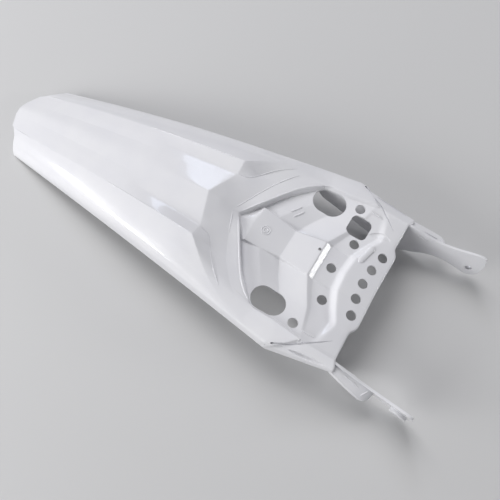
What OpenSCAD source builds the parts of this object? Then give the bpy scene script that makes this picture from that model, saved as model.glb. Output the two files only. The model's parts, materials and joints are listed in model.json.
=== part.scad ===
// Rear fender of a motorcycle: one thin moulding in white plastic.
// A creased tail shell runs forward into a sunken front panel with a centre
// box, flutes, bolt holes and side openings. Two side walls hang under the
// shell and run on past it as the two fixing arms.
// The figures below are given with the front panel level, +X toward the
// arms, from the middle of the seat step. The finished part is then tipped
// so that it stands on the corners of its tail and the feet of its walls.

/* [Tail] */
// Length of the tail behind the seat step
tail_len = 321; // [280:1:360]
// Drop of the crease lines over that length
tail_drop = 100; // [80:1:120]
// Upward bow of the tail between its ends
tail_bow = 9; // [4:0.5:14]
// How far the rear corners are set forward of the tip
tail_round = 38; // [20:1:50]
// Width across the rear corners
tail_w = 126; // [110:1:140]
// Distance between the two creases at the rear
crease_rear_w = 65; // [50:1:80]
// Distance between the two creases at the seat step
crease_front_w = 114; // [100:1:124]
// Width of the hollow strip inside each crease
strip_w = 16; // [10:1:20]
// Depth of that strip at the seat step
strip_depth = 8.5; // [4:0.5:12]
// Height of the centre ridge above the creases at the rear
crown_rear = 6; // [2:0.5:9]
// The same at the seat step
crown_front = 1.5; // [0:0.5:4]

/* [Sides] */
// Greatest width, across the front corners of the skirts
body_w = 242; // [224:1:260]
// Distance of those corners in front of the seat step
corner_x = 149; // [140:1:156]
// Height of the skirt edge at the rear corners
edge_rear_z = -107; // [-120:1:-90]
// Height of the skirt edge at the front corners
edge_front_z = -11; // [-20:1:-6]
// Height of the steep part of each skirt
skirt_h = 16; // [8:1:24]
// Width across the shoulder bends beside the seat step
bend_w = 173; // [160:1:184]
// Width across the side rails at the front edge
rail_w = 212; // [204:1:224]
// Step down from the shell to the side rails
rail_step = 5; // [2:0.5:8]

/* [Seat step] */
// Set-back of the strips at the step, in front of its middle
step_set = 15; // [8:1:22]
// Foot of the sloping face, on the centre line
slope_x = 35; // [26:1:38]
// Depth of the foot of the sloping face
slope_z = -10; // [-14:0.5:-6]

/* [Front panel] */
// Rim of the panel, on the centre line
rim_x = 43; // [40:1:48]
// Depth of the rim there
rim_z = -12; // [-16:0.5:-10]
// Forward run of the rim for each millimetre outward
rim_sweep = 0.66; // [0.5:0.02:0.7]
// Width between the rims along the sides, at the ovals
panel_w = 181; // [176:1:186]
// Depth of the wall under the rim
rim_wall = 4.5; // [2:0.5:7]
// Front edge of the panel
front_x = 227; // [222:1:240]
// Height of the lip folded down from the front edge
lip_h = 7; // [3:1:10]

/* [Centre box] */
// Rear edge of the box
box_rear = 64; // [62:1:68]
// Valley across the top of the box
box_mid = 112; // [106:1:116]
// Front edge of the top of the box
box_front = 150; // [144:1:153]
// Foot of the front of the box
box_foot = 158; // [156:1:164]
// Width of the box at its ends
box_w = 49; // [40:1:54]
// Width of the box at its waist
box_waist = 39; // [32:1:48]
// Height of its rear edge
box_rear_z = -12.8; // [-15:0.1:-11]
// Height of the valley
box_mid_z = -14.5; // [-17:0.1:-13]
// Height of its front edge
box_front_z = -4.5; // [-8:0.1:-3]
// Crest of the first flute, beside the box
flute_x = 85; // [78:1:92]
// Height of that crest
flute_z = -14.6; // [-16:0.1:-13]
// Height of the valley between the flutes
valley_z = -18; // [-20:0.5:-16]
// Height of the panel just in front of the box
floor_z = -9.5; // [-11:0.1:-8]
// Foot of the curved bead across the panel
bead_x = 180; // [178:1:184]
// Height of the panel in front of the bead
band_z = 0; // [-2:0.1:1]

/* [Holes] */
// Diameter of the bolt holes
bolt_d = 12; // [8:0.5:13]
// Distance between neighbours in the front row
pitch_front = 20; // [18:0.5:22]
// Middle hole of the front row
row_front = 209; // [206:1:212]
// Distance of the outer holes of the rear row from the middle one
pitch_rear = 40; // [36:0.5:42]
// Middle hole of the rear row
row_rear = 170; // [168:1:172]
// Side hole, forward of the seat step
side_x = 164; // [160:1:168]
// Side hole, out from the centre line
side_y = 82; // [78:1:83]
// Width of the side openings, across the part
oval_w = 30; // [22:1:31]
// Length of the side openings
oval_l = 42; // [34:1:44]
// Middle of the side openings, forward of the seat step
oval_x = 128; // [124:1:132]
// Middle of the side openings, out from the centre line
oval_y = 73; // [70:1:73]
// Size of the square opening on the left
square_w = 26; // [18:1:28]
// Middle of the square opening, forward of the seat step
square_x = 173.5; // [171:0.5:176]
// Middle of the square opening, out from the centre line
square_y = 61; // [59:0.5:62]

/* [Side walls and arms] */
// Distance between the side walls at the arm roots
arms_w = 187; // [184:1:192]
// Distance between the side walls at their rear ends
walls_w = 193; // [191:1:198]
// Angle by which each arm opens outward, degrees
arm_angle = 4; // [0:0.5:5]
// Inward lean of the side walls and arms toward their feet, degrees
wall_lean = 9; // [0:0.5:10]
// Thickness of the side walls and arms
arm_t = 3; // [2.4:0.1:4]
// Reach of the arms in front of the seat step
arm_x = 324; // [310:1:340]
// Depth of the side walls at their feet
foot_z = -50; // [-60:1:-44]
// Distance of the lug bolt from the end of the arm
lug_back = 13; // [13:1:18]
// Height of the lug bolt
lug_z = -18; // [-20:1:-14]
// Radius of the lug
lug_r = 13; // [12:0.5:15]
// Diameter of the lug bolt hole
lug_d = 8; // [5:0.5:10]
// Thickness through the boss around that hole
lug_boss = 7; // [4:0.5:9]
// Length of the outward flange on each arm
flange_l = 58; // [40:1:60]
// Width of that flange
flange_w = 15; // [8:1:17]

/* [Wall] */
// Wall thickness of the shell
wall = 2.8; // [2.2:0.1:3.2]

/* [Hidden] */
$fn = 48;
white = [0.93, 0.93, 0.94];
tail_rows = 14;

function mix(a, b, t) = a + (b - a) * t;
function clamp(t) = min(1, max(0, t));
function ease(t) = let (c = clamp(t)) c * c * (3 - 2 * c);

// lengthwise lines of the part, as functions of x
corner_rear = tail_round - tail_len;
function along(x) = (x + tail_len) / (tail_len + step_set);
function half_w(x) = x < corner_x
    ? mix(tail_w, body_w, (x - corner_rear) / (corner_x - corner_rear)) / 2
    : mix(body_w, rail_w, (x - corner_x) / (front_x - corner_x)) / 2;
function edge_z(x) = let (t = (x - corner_rear) / (corner_x - corner_rear))
    x < corner_x ? mix(edge_rear_z, edge_front_z, t) + 4 * tail_bow * t * (1 - t)
    : mix(edge_front_z, 1, (x - corner_x) / (front_x - corner_x));
function crease_z(x) = let (t = along(x)) crown_front - (1 - t) * (tail_drop + 4)
    + 4 * tail_bow * t * (1 - t);
function crease_y(x) = let (t = along(x))
    mix(crease_rear_w, crease_front_w, t) / 2 - 6 * pow(1 - clamp(8 * t), 2);
function crown(x) = mix(crown_rear, crown_front, along(x)) - crown_front;
function skirt(x) = skirt_h * (x < corner_x ? mix(0.25, 1, ease(along(x)))
    : mix(1, 0.4, (x - corner_x) / (front_x - corner_x)));
function bend_y(x) = min(bend_w / 2 + 0.06 * x, half_w(x) - 9);
function side_z(x) = lookup(x, [[5, bend_z(5)], [58, -8.3], [116, -6.2],
    [150, 0.5], [180, 4.6], [front_x, 4.6]]);
function bend_z(x) = crease_z(x) - mix(0.6, 0.48, along(x)) * (bend_y(x) - crease_y(x));
function side_y_at(x) = x < 58 ? mix(bend_y(5), panel_w / 2 - 1.5, (x - 5) / 53)
    : lookup(x, [[58, panel_w / 2 - 1.5], [116, panel_w / 2], [150, panel_w / 2 + 0.5],
    [180, panel_w / 2 + 4], [front_x, panel_w / 2 + 3.5]]);
function box_y(x) = lookup(x, [[-tail_len, 10], [step_set, box_w / 2], [box_rear, box_w / 2],
    [box_mid, box_waist / 2], [box_front, box_w / 2 - 1], [front_x, box_w / 2 - 1]]);

// nominal distance of each column from the centre line, at the tail and in front
tail_y = [0, 10, 11, 18, 29.5, 50.5, 53, 58.5, 61.5, tail_w / 2];
step_x = [0, 9, 9.6, step_set, step_set, 40, 58, 84, 102, 112];
function tail_x(k) = -tail_len + tail_round * pow(tail_y[k] / (tail_w / 2), 1.7);

// a point of the tail: t runs from the rear edge to the seat step
function tail_pt(t, k) = let (x = mix(tail_x(k), step_x[k], t)) [x, shell_y(x, k), tail_z(x, k)];
function inner_y(x) = crease_y(x) - strip_w * ease(along(x) * 2.2);
function shell_y(x, k) =
    k == 0 ? 0 :
    k == 1 ? box_y(x) :
    k == 2 ? box_y(x) + 1.5 :
    k == 3 ? inner_y(min(x, step_set)) :
    k == 4 ? (x < step_set + 1 ? crease_y(x) : 58) :
    k == 5 ? outer_y(x) - mix(11, 2.5, ease((x - 60) / 60)) :
    k == 6 ? outer_y(x) :
    k == 7 ? mix(outer_y(x), half_w(x) - skirt(x) / 4, 0.62) :
    k == 8 ? half_w(x) - skirt(x) / 4 :
    half_w(x) - skirt(x) / 8;
function outer_y(x) = x < 5 ? bend_y(x) : side_y_at(x);
function outer_z(x) = x < 5 ? bend_z(x) : side_z(x);
function limb_z(x) = edge_z(x) + 0.44 * skirt(x);
function tail_z(x, k) = let (y = shell_y(x, k), xc = min(x, step_set), yc = crease_y(xc),
        zc = crease_z(xc) + 0.06 * (x - xc),
        dip = strip_depth * ease((x + 110) / (110 + step_set)))
    k < 3 ? mix(zc + crown(x), zc - dip, y / inner_y(x)) :
    k == 3 ? mix(zc, zc + crown(x), 1 - y / yc) * (1 - ease(dip)) + (zc - dip) * ease(dip) :
    k == 4 ? zc :
    k == 5 ? mix(zc, outer_z(x), (y - yc) / (outer_y(x) - yc)) :
    k == 6 ? outer_z(x) :
    k == 7 ? mix(outer_z(x), limb_z(x), 0.42) :
    k == 8 ? limb_z(x) :
    edge_z(x) - 0.56 * skirt(x);

// rows of the front panel: place and height on the centre line, beside the
// box, and how far each row runs forward for each millimetre outward
rows = [
    [slope_x / 2, slope_z / 2, slope_z * 0.7, 0.42],
    [slope_x, slope_z, slope_z - 0.8, 0.42],
    [rim_x, rim_z, rim_z + 2.4, rim_sweep],
    [rim_x + 3, rim_z - rim_wall + 1, rim_z + 2.4 - rim_wall - 2, rim_sweep],
    [box_rear, box_rear_z, box_rear_z - 2.6, 0.7],
    [flute_x, mix(box_rear_z, box_mid_z, 0.45), flute_z, 0.74],
    [box_mid, box_mid_z, valley_z, 0.66],
    [box_front, box_front_z, box_front_z - 1.5, 0.56],
    [box_foot, floor_z, floor_z, 0.46],
    [bead_x, floor_z + 1.5, floor_z + 1.5, 0.2],
    [bead_x + 6, band_z, band_z, 0.2],
    [row_front, band_z, band_z, 0.1],
    [front_x, band_z - 1, band_z - 1, 0.0],
];
last = len(rows) - 1;

// a row's place at column k
function row_x(r, k) = let (a = rows[r], y = k < 6 ? [0, 24, 26, 41, 58, 86][k] : 90)
    r == 0 ? [17, 22, 22.5, step_set + 15, step_set + 24, 62, 74, 88, 104, 115][k] :
    r == last ? front_line([0, 24, 26, 50, 58, 88, 90, 96, 96, 96][k]) + (k > 6 ? 3 : 0) :
    k > 6 ? (r == 1 ? mix(row_x(0, k), out_x(2, k - 7), 0.5) : out_x(r, k - 7)) :
    k == 6 ? (r < 3 ? mix(74, rim_out, r / 2) : max(row_x(r, 5) + 1, rim_out + 2.5 * (r - 2))) :
    r < 4 ? a[0] + a[3] * y + (r > 1 ? 18 * pow(y / 91, 8) : 14 * pow(y / 91, 4)) :
    let (x = a[0] + a[3] * max(0, y - 24) * (k == 5 ? 0.8 : 1) + (r > 8 && k < 5 ? 0.0035 * y * y : 0))
    max(min(x, front_line(y) - 4 * (last - r)), row_x(3, k) + 3 * (r - 3));
// the columns outside the rim run to the diagonal end of the shell, then
// along the lower side rail
function out_x(r, m) = r < 8 ? mix([100, 114, 123][m], [168, 157, corner_x][m], (r - 2) / 5)
    : mix([171, 160, corner_x + 3][m], front_x - 1, (r - 8) / (last - 8));
rim_out = rim_x + rim_sweep * 90 + 16.5;
function front_line(y) = lookup(y, [[0, front_x], [50, front_x + 1], [58, front_x - 5],
    [75, front_x - 8], [88, front_x - 4.5], [96, front_x - 4]]);

// a point of the front part at row r, column k
function row_pt(r, k) = let (x = row_x(r, k), a = rows[r], y = k == 4 && r == 0 ? 56 :
        k == 3 ? (r == 0 ? 44 : r == last ? 50 : 41) : shell_y(x, k),
        yo = outer_y(x), edge = side_z(x),
        wall_in = r < 3 ? 0 : rim_wall * (1 - 0.6 * ease((x - 100) / 90)),
        z0 = r < 4 && k == 1 ? mix(a[1], a[2], 0.92) : k < 2 ? a[1] : a[2],
        z = k < 2 ? z0 : k < 6 ? (r < 3 ? mix(z0, edge, pow(y / yo, 1.2))
            : mix(z0, edge - wall_in, pow(y / yo, 2))) : 0)
    k < 6 ? [x, y, r == 0 && k == 4 ? -9 : r == 0 && k == 3 ? -7.5 : z] :
    let (drop = r > 7 ? rail_step * [0.25, 0.7, 1, 1][k - 6] * (1 - 0.6 * (r - 8) / (last - 8)) : 0)
    [x, y, tail_z(x, k) - drop];

// all rows of key points, rear to front
key_rows = concat(
    [for (i = [0:tail_rows]) [for (k = [0:9]) tail_pt(i / tail_rows, k)]],
    [for (r = [0:last]) [for (k = [0:9]) row_pt(r, k)]],
    [[for (k = [0:9]) row_pt(last, k) + [0.8, 0, -lip_h * (k < 7 ? 1 : [0.7, 0.55, 0.08][k - 7])]]]);
nr = len(key_rows);

// pieces each column strip is cut into, and the upward bulge of each strip
cuts = [1, 1, 2, 1, 4, 1, 2, 2, 2];
bulge = [0, 0, 0, 0, 1.6, 0, 0.8, 0.5, 0];
function strip(row, k, b) = [for (i = [0:cuts[k] - 1]) let (t = i / cuts[k])
    mix(row[k], row[k + 1], t) + [0, 0.3, 1] * b * bulge[k] * 4 * t * (1 - t)];
function half_row(row, b) = concat([for (k = [0:8]) each strip(row, k, k < 5 ? b : 1)], [row[9]]);
half_rows = [for (i = [0:nr - 1]) half_row(key_rows[i], i <= tail_rows ? 1 : 0)];
nh = len(half_rows[0]);
nc = 2 * nh - 1;
function full_row(h) = concat([for (j = [nh - 1:-1:1]) [h[j][0], -h[j][1], h[j][2]]], h);
skin = [for (h = half_rows) full_row(h)];

// the inner face: straight down under the top, sideways behind the skirts
function safe(i, n) = max(0, min(n, i));
function unit(v) = v / max(norm(v), 0.001);
function normal(i, j) = let (
        a = skin[safe(i + 1, nr - 1)][j] - skin[safe(i - 1, nr - 1)][j],
        b = skin[i][safe(j + 1, nc - 1)] - skin[i][safe(j - 1, nc - 1)])
    unit(cross(a, b));
edge_cols = cuts[6] + cuts[7] + cuts[8];
function inward(i, j) = let (m = min(j, nc - 1 - j), s = j < nh - 1 ? 1 : -1,
        q = m < edge_cols ? turn[m] : 0)
    m == 0 ? [0, s, 0] : unit(mix([0, 0, -1], -normal(i, j), q));
turn = [1, 1, 1, 0.8, 0.6, 0.3];
function depth(i, j) = let (d = inward(i, j)) wall / max(0.55, abs(normal(i, j) * d));
// at the folded front edge: in from the side and down, per column from the end
function folded(i, j) = let (m = min(j, nc - 1 - j), s = j < nh - 1 ? 1 : -1)
    [-1, m < edge_cols ? s * [1, 1, 1, 0.4, 0.2, 0][m] : 0,
    i == nr - 1 ? 0 : m < edge_cols ? -[0, 0, 0.8, 1, 1, 1][m] : -1];
back = [for (i = [0:nr - 1]) [for (j = [0:nc - 1])
    skin[i][j] + (i < nr - 2 ? inward(i, j) * depth(i, j) : folded(i, j) * wall)]];

// a sheet between two faces given as rows of points of the same count
module sheet(face, back) {
    rows = len(face);
    cols = len(face[0]);
    n = rows * cols;
    pts = concat([for (r = face) each r], [for (r = back) each r]);
    function quad(a, b, c, d) = [[a, b, c], [a, c, d]];
    faces = concat(
        [for (i = [0:rows - 2], j = [0:cols - 2]) let (a = i * cols + j)
            each quad(a + cols + 1, a + cols, a, a + 1)],
        [for (i = [0:rows - 2], j = [0:cols - 2]) let (a = n + i * cols + j)
            each quad(a, a + cols, a + cols + 1, a + 1)],
        [for (i = [0:rows - 2]) let (a = i * cols) each quad(a, a + cols, a + n + cols, a + n)],
        [for (i = [0:rows - 2]) let (a = i * cols + cols - 1)
            each quad(a, a + n, a + n + cols, a + cols)],
        [for (j = [0:cols - 2]) each quad(j, j + n, j + n + 1, j + 1)],
        [for (j = [0:cols - 2]) let (a = (rows - 1) * cols + j)
            each quad(a, a + 1, a + n + 1, a + n)]);
    polyhedron(pts, faces, convexity = 10);
}

// resting place: the line under the tail corners and the wall feet is level
foot_x = front_x + 1;
tail_low = edge_z(corner_rear) - 0.56 * skirt(corner_rear);
rest_pitch = atan((foot_z - tail_low) / (foot_x - corner_rear));
function rest_x(x, z) = x * cos(rest_pitch) + z * sin(rest_pitch);
function rest_z(x, z) = z * cos(rest_pitch) - x * sin(rest_pitch);
lug_x = arm_x - lug_back;
tip_z = tail_z(-tail_len, 0) - wall;
move_x = -(rest_x(-tail_len, tip_z) + rest_x(lug_x, lug_z) + lug_r) / 2;
move_z = -rest_z(foot_x, foot_z);
root_x = front_x - 8;

// side wall and arm, seen from the side: place, top and bottom
wall_line = [[104, -9.5, foot_z + 21], [115, -8.4, foot_z + 12], [corner_x, -4, foot_z + 7],
    [foot_x - 38, 1.4, foot_z], [root_x, 2.2, foot_z], [foot_x, 2.2, foot_z],
    [root_x + 24, 0, foot_z + 7], [root_x + 41, -2, lug_z - 14], [root_x + 54, -1, lug_z - 9],
    [root_x + 71, 3, lug_z - 9], [lug_x - 10, 7, lug_z - lug_r + 2], [lug_x, 9.5, lug_z - lug_r],
    [lug_x + 7, 9.5, lug_z - lug_r + 2], [lug_x + 12, lug_z + 16, lug_z - 6], [arm_x, lug_z + 8, lug_z]];
function wall_y(x, z) = z * tan(wall_lean) + (x < root_x
    ? mix(walls_w, arms_w, (x - 104) / (root_x - 104)) / 2
    : arms_w / 2 + (x - root_x) * tan(arm_angle));

module side_wall(s) {
    function face(out) = [for (p = wall_line) [for (z = s > 0 ? [p[1], p[2]] : [p[2], p[1]])
        [p[0], s * (wall_y(p[0], z) + out), z]]];
    difference() {
        union() {
            sheet(face(arm_t), face(0));
            lug_turn(s) cylinder(r = lug_r - 3, h = lug_boss - arm_t / 2);
        }
        lug_turn(s) translate([0, 0, -lug_r]) cylinder(d = lug_d, h = 3 * lug_r);
    }
}

// stands its children square to an arm at the lug bolt, from the middle of its wall
module lug_turn(s) {
    translate([lug_x, s * (wall_y(lug_x, lug_z) + arm_t / 2), lug_z])
        rotate([-s * (90 + wall_lean), 0, 0]) rotate([0, -arm_angle, 0]) children();
}

// outward flange along the root of an arm, folded down at its edge and end
module flange(s) {
    t = 2.6;
    y = arms_w / 2 + 1;
    line = [[front_x - 3.6, y, 1.5, rail_w / 2 - 0.5, -3], [root_x + 20, y, -2, y + flange_w - 1, -6],
        [root_x + flange_l - 3, y + 3, -3.5, y + flange_w + 3, -13],
        [root_x + flange_l, y + 3.2, -9, y + flange_w + 1, -17]];
    fold = [[0, 0, -t], [0, 0, -t], [-t * 0.7, 0, -t * 0.7], [-t, 0, 0]];
    function row(p, d) = let (r = [[p[0], s * p[1], p[2]] + d, [p[0], s * p[3], p[4]] + d * 1.1,
        [p[0], s * (p[3] + 0.5), p[4] - 6] + [d[0], 0, 0]]) s > 0 ? r : [r[2], r[1], r[0]];
    function under(p, d) = let (r = [[p[0], s * p[1], p[2]] + d, [p[0], s * (p[3] - t * 0.8), p[4]] + d,
        [p[0], s * (p[3] + 0.5 - t), p[4] - 6] + [d[0], 0, 0]]) s > 0 ? r : [r[2], r[1], r[0]];
    sheet([for (i = [0:3]) row(line[i], [0, 0, 0])], [for (i = [0:3]) under(line[i], fold[i])]);
}

// everything that is cut through the panel, all square to it
module openings() {
    cut_h = -1.2 * foot_z;
    for (i = [-2:2]) translate([row_front + 0.0035 * pow(i * pitch_front, 2), i * pitch_front, -cut_h / 2])
        cylinder(d = bolt_d, h = cut_h);
    for (i = [-1:1]) translate([row_rear + 9 * abs(i), i * pitch_rear, -cut_h / 2])
        cylinder(d = bolt_d, h = cut_h);
    for (s = [-1, 1]) {
        translate([side_x, s * side_y, -cut_h / 2]) cylinder(d = bolt_d, h = cut_h);
        for (e = [-1, 1]) translate([oval_x + e * (oval_l - oval_w) / 2, s * oval_y, -0.7 * cut_h])
            cylinder(d = oval_w, h = cut_h);
        translate([oval_x - (oval_l - oval_w) / 2, s * oval_y - oval_w / 2, -0.7 * cut_h])
            cube([oval_l - oval_w, oval_w, cut_h]);
    }
    r = square_w / 4;
    translate([square_x, square_y, -cut_h / 2]) {
        for (e = [-1, 1], f = [-1, 1]) translate([e * r, f * r, 0]) cylinder(r = r, h = cut_h);
        for (q = [0, 90]) rotate([0, 0, q]) translate([-2 * r, -r, 0]) cube([4 * r, 2 * r, cut_h]);
    }
    translate([box_front - 2.6, 0.95 * bolt_d, box_front_z - wall * 3]) cylinder(d = bolt_d / 3, h = wall * 4);
}

module rear_fender() {
    color(white) translate([move_x, 0, move_z]) rotate([0, rest_pitch, 0]) difference() {
        union() {
            sheet(skin, back);
            for (s = [-1, 1]) {
                side_wall(s);
                flange(s);
            }
            translate([box_rear + 19, 0, box_rear_z - 2]) cylinder(d = 11, h = 2.6);
        }
        openings();
    }
}

rear_fender();
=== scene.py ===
import json
import math

import bmesh
import bpy
import numpy as np
from mathutils import Matrix, Vector
from mathutils.bvhtree import BVHTree


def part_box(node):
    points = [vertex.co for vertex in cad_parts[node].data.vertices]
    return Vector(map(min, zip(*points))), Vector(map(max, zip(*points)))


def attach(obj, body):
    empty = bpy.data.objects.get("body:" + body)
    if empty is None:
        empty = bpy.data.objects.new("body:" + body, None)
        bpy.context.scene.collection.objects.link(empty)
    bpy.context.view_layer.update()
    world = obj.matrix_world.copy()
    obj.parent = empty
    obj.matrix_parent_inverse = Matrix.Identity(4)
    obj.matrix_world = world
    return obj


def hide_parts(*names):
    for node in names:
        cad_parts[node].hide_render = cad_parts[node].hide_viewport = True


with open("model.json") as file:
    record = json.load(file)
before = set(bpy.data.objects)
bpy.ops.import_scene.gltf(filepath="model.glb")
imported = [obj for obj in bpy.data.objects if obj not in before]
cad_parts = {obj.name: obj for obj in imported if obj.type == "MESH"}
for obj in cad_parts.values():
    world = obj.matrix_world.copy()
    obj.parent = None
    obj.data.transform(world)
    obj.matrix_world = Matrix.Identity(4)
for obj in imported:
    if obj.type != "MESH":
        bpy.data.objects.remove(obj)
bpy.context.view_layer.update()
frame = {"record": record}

# Sizes are in millimetres with the bolt panel level, +x toward the arms and the
# middle of the seat step as origin. The matrix toPart puts them in the frame of the part.
tail = {
    "length": 321, "drop": 100, "bow": 9, "round": 38, "width": 126,
    "creaseRear": 65, "creaseFront": 114, "strip": 16, "stripDepth": 8.5, "stripRun": 110,
    "crownRear": 6, "crownFront": 1.5, "rearPinch": 6, "pinchShare": 8, "stripShare": 2.2,
}
side = {
    "bodyWidth": 242, "cornerX": 149, "edgeRearZ": -107, "edgeFrontZ": -11,
    "skirt": 16, "bendWidth": 173, "railWidth": 212, "railStep": 5,
    "skirtRear": 0.25, "skirtFront": 0.4, "skirtAbove": 0.44, "skirtBelow": 0.56,
    "bendRun": 0.06, "bendInside": 9, "slopeRear": 0.6, "slopeFront": 0.48,
}
step = {
    "setBack": 15, "footX": 35, "footZ": -10, "footRun": 0.42, "footCurl": 14,
    "stripY": 44, "stripZ": -7.5, "creaseY": 56, "creaseZ": -9,
}
panel = {
    "rimX": 43, "rimZ": -12, "sweep": 0.66, "width": 181, "rimWall": 4.5,
    "rimHalf": 91, "rimCurl": 18, "frontX": 227, "lip": 7, "beadX": 180, "bandZ": 0,
}
box = {
    "rear": 64, "mid": 112, "front": 150, "foot": 158, "width": 49, "waist": 39,
    "rearZ": -12.8, "midZ": -14.5, "frontZ": -4.5,
    "fluteX": 85, "fluteZ": -14.6, "valleyZ": -18, "floorZ": -9.5,
}
holes = {
    "bolt": 12, "frontPitch": 20, "frontRow": 209, "rearPitch": 40, "rearRow": 170,
    "sideX": 164, "sideY": 82, "ovalWide": 30, "ovalLong": 42, "ovalX": 128, "ovalY": 73,
    "square": 26, "squareX": 173.5, "squareY": 61, "rowBow": 0.0035, "rearFan": 9,
    "pinX": 147.4, "pinY": 11.4, "pin": 4, "pinLow": -12.9, "pinHigh": -1.7,
    "cutDepth": 30, "ovalDepth": 40,
}
arm = {
    "rootGap": 187, "wallGap": 193, "open": 4, "lean": 9, "thick": 3, "tip": 324,
    "foot": -50, "lugZ": -18, "lugR": 13, "lugHole": 8, "lugBoss": 7,
    "flangeLength": 58, "flangeWide": 15, "flangeThick": 2.6, "flangeDrop": 6,
    "wallBevel": 0.8, "bossBevel": 1.2, "flangeBevel": 0.7,
}
wall = 2.8


def mix(a, b, t):
    return a + (b - a) * t


def clamp(t):
    return min(1.0, max(0.0, t))


def ease(t):
    t = clamp(t)
    return t * t * (3 - 2 * t)


def lookup(x, table):
    return float(np.interp(x, [p[0] for p in table], [p[1] for p in table]))


# lengthwise lines of the shell, as functions of x
cornerRear = tail["round"] - tail["length"]
frontX = panel["frontX"]
halfPanel = panel["width"] / 2


def along(x):
    return (x + tail["length"]) / (tail["length"] + step["setBack"])


def toCorner(x):
    return (x - cornerRear) / (side["cornerX"] - cornerRear)


def pastCorner(x):
    return (x - side["cornerX"]) / (frontX - side["cornerX"])


def halfWidth(x):
    if x < side["cornerX"]:
        return mix(tail["width"], side["bodyWidth"], toCorner(x)) / 2
    return mix(side["bodyWidth"], side["railWidth"], pastCorner(x)) / 2


def edgeZ(x):
    t = toCorner(x)
    if x < side["cornerX"]:
        return mix(side["edgeRearZ"], side["edgeFrontZ"], t) + 4 * tail["bow"] * t * (1 - t)
    return mix(side["edgeFrontZ"], 1, pastCorner(x))


def creaseZ(x):
    t = along(x)
    return tail["crownFront"] - (1 - t) * (tail["drop"] + 4) + 4 * tail["bow"] * t * (1 - t)


def creaseY(x):
    t = along(x)
    pinch = tail["rearPinch"] * (1 - clamp(tail["pinchShare"] * t)) ** 2
    return mix(tail["creaseRear"], tail["creaseFront"], t) / 2 - pinch


def crown(x):
    return mix(tail["crownRear"], tail["crownFront"], along(x)) - tail["crownFront"]


def skirtHeight(x):
    if x < side["cornerX"]:
        return side["skirt"] * mix(side["skirtRear"], 1, ease(along(x)))
    return side["skirt"] * mix(1, side["skirtFront"], pastCorner(x))


def bendY(x):
    return min(side["bendWidth"] / 2 + side["bendRun"] * x, halfWidth(x) - side["bendInside"])


def bendZ(x):
    slope = mix(side["slopeRear"], side["slopeFront"], along(x))
    return creaseZ(x) - slope * (bendY(x) - creaseY(x))


# the shoulder beside the panel: where it starts, then places with height and half width
shoulder = {
    "start": 5, "panel": 58,
    "heights": [(5, bendZ(5)), (58, -8.3), (116, -6.2), (150, 0.5), (180, 4.6), (frontX, 4.6)],
    "halfWidths": [(58, halfPanel - 1.5), (116, halfPanel), (150, halfPanel + 0.5),
                   (180, halfPanel + 4), (frontX, halfPanel + 3.5)],
}


def sideZ(x):
    return lookup(x, shoulder["heights"])


def sideY(x):
    start, stop = shoulder["start"], shoulder["panel"]
    if x < stop:
        return mix(bendY(start), halfPanel - 1.5, (x - start) / (stop - start))
    return lookup(x, shoulder["halfWidths"])


def boxY(x):
    half = box["width"] / 2
    return lookup(x, [(-tail["length"], 10), (step["setBack"], half), (box["rear"], half),
                      (box["mid"], box["waist"] / 2), (box["front"], half - 1), (frontX, half - 1)])


def outerY(x):
    return bendY(x) if x < shoulder["start"] else sideY(x)


def outerZ(x):
    return bendZ(x) if x < shoulder["start"] else sideZ(x)


def limbZ(x):
    return edgeZ(x) + side["skirtAbove"] * skirtHeight(x)


def innerY(x):
    return creaseY(x) - tail["strip"] * ease(along(x) * tail["stripShare"])


# columns of the shell, from the centre line outward: the box foot stands between
# the box edge and the strip, and the skirt follows the limb
columns = range(10)
middle, boxEdge = 0, 1
strip, crease, rimFoot, bend, rounding, limb = range(3, 9)


def columnY(x, k):
    last = halfWidth(x) - skirtHeight(x) / 4
    return [
        lambda: 0.0,
        lambda: boxY(x),
        lambda: boxY(x) + 1.5,
        lambda: innerY(min(x, step["setBack"])),
        lambda: creaseY(x) if x < step["setBack"] + 1 else 58.0,
        lambda: outerY(x) - mix(11, 2.5, ease((x - 60) / 60)),
        lambda: outerY(x),
        lambda: mix(outerY(x), last, 0.62),
        lambda: last,
        lambda: halfWidth(x) - skirtHeight(x) / 8,
    ][k]()


def tailZ(x, k):
    xc = min(x, step["setBack"])
    y, yc, zc = columnY(x, k), creaseY(xc), creaseZ(xc) + 0.06 * (x - xc)
    dip = tail["stripDepth"] * ease((x + tail["stripRun"]) / (tail["stripRun"] + step["setBack"]))
    if k < strip:
        return mix(zc + crown(x), zc - dip, y / innerY(x))
    if k == strip:
        return mix(zc, zc + crown(x), 1 - y / yc) * (1 - ease(dip)) + (zc - dip) * ease(dip)
    if k == crease:
        return zc
    if k == rimFoot:
        return mix(zc, outerZ(x), (y - yc) / (outerY(x) - yc))
    if k == bend:
        return outerZ(x)
    if k == rounding:
        return mix(outerZ(x), limbZ(x), 0.42)
    if k == limb:
        return limbZ(x)
    return edgeZ(x) - side["skirtBelow"] * skirtHeight(x)


# both ends of the tail, column by column
tailEnds = {
    "rearY": [0, 10, 11, 18, 29.5, 50.5, 53, 58.5, 61.5, tail["width"] / 2],
    "rearSetIn": [0, 0, 0, 7, 5, 0, 2.5, 1.5, 1, 0],
    "rearCurve": 1.7,
    "stepX": [0, 9, 9.6, step["setBack"], step["setBack"], 40, 58, 84, 102, 112],
}


def tailPoint(t, k):
    outward = tailEnds["rearY"][k] / (tail["width"] / 2)
    rearX = -tail["length"] + tail["round"] * outward ** tailEnds["rearCurve"]
    x = mix(rearX + tailEnds["rearSetIn"][k], tailEnds["stepX"][k], t)
    return (x, columnY(x, k), tailZ(x, k))


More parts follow.
